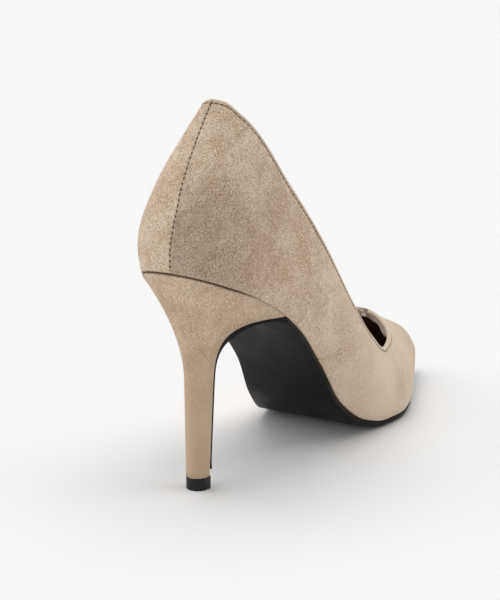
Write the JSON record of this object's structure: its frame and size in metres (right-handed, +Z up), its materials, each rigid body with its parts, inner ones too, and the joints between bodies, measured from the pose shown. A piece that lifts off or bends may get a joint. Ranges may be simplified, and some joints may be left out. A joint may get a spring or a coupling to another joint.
{
  "type": "stiletto heel shoe",
  "caption": "Womens pointed court shoe for the right foot with a high stiletto heel, suede covered, with a thin black sole that runs down the heel's front.",
  "frame": {"origin": "centre of the heel's top piece, on the floor", "axes": "+X towards the toe, +Y towards the wearer's left, which is the inner side of this right shoe, +Z up"},
  "size_m": [0.2294, 0.0719, 0.1579],
  "materials": {
    "suede": "beige suede with a short mottled nap",
    "lining": "dark brown smooth lining",
    "sole": "black satin sole sheet",
    "heel_cover": "beige suede stretched over a hard heel",
    "top_piece": "black hard rubber"
  },
  "bodies": {
    "root": {"upper": "suede", "insole": "lining", "outsole": "sole", "heel": "heel_cover", "top_piece": "top_piece"}
  },
  "joints": []
}
